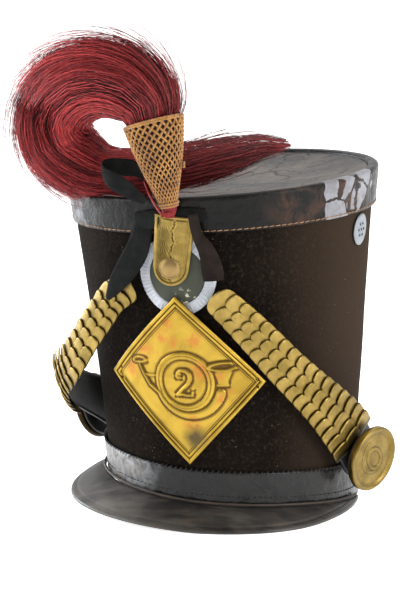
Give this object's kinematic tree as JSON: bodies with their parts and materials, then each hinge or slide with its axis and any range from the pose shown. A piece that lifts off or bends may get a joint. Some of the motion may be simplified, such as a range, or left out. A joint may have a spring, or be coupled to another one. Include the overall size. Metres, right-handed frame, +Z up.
{
  "type": "shako hat",
  "caption": "Felt shako hat with leather bands, crown and peak, a brass lozenge plate, chin scales with round bosses, a painted cockade and a curled horsehair plume",
  "frame": {"origin": "middle of the bounding box, on the floor that the hat stands on", "axes": "+Z up, -Y the front of the hat, +X the wearer's left"},
  "size_m": [0.2454, 0.2594, 0.3381],
  "materials": {
    "felt": "napped, worn wool felt",
    "crown_leather": "old, cracked and dull",
    "band_leather": "crinkled, glossy",
    "visor_leather": "worn, satin",
    "tan_leather": "satin",
    "plate_brass": "stamped, lightly tarnished",
    "brass": "aged satin",
    "cockade_paint": "matt, flaked",
    "cockade_white": "matt, flaked",
    "cord": "knitted cord",
    "horsehair": "dyed hair",
    "ribbon": "black ribbon",
    "strap_leather": "satin",
    "white_metal": "satin"
  },
  "bodies": {
    "root": {"felt_body": "felt", "crown_top": "crown_leather", "crown_band": "band_leather", "base_band": "band_leather", "base_welt": "tan_leather", "visor": "visor_leather", "front_plate": "plate_brass", "cockade_disc": "cockade_paint", "cockade_rim": "cockade_white", "plume_holder": "brass", "holder_button": "brass", "plume_cup": "cord", "plume_root": "horsehair", "plume_hair": "horsehair", "ribbon_bow": "ribbon", "ribbon_left": "ribbon", "ribbon_right": "ribbon", "strap_right": "strap_leather", "scale_right_01": "brass", "scale_right_02": "brass", "scale_right_03": "brass", "scale_right_04": "brass", "scale_right_05": "brass", "scale_right_06": "brass", "scale_right_07": "brass", "scale_right_08": "brass", "scale_right_09": "brass", "scale_right_10": "brass", "scale_right_11": "brass", "scale_right_12": "brass", "scale_right_13": "brass", "scale_right_14": "brass", "scale_right_15": "brass", "scale_right_16": "brass", "scale_right_17": "brass", "boss_right": "brass", "vent_right": "white_metal", "strap_left": "strap_leather", "scale_left_01": "brass", "scale_left_02": "brass", "scale_left_03": "brass", "scale_left_04": "brass", "scale_left_05": "brass", "scale_left_06": "brass", "scale_left_07": "brass", "scale_left_08": "brass", "scale_left_09": "brass", "scale_left_10": "brass", "scale_left_11": "brass", "scale_left_12": "brass", "scale_left_13": "brass", "scale_left_14": "brass", "scale_left_15": "brass", "scale_left_16": "brass", "scale_left_17": "brass", "boss_left": "brass", "vent_left": "white_metal"}
  },
  "joints": []
}
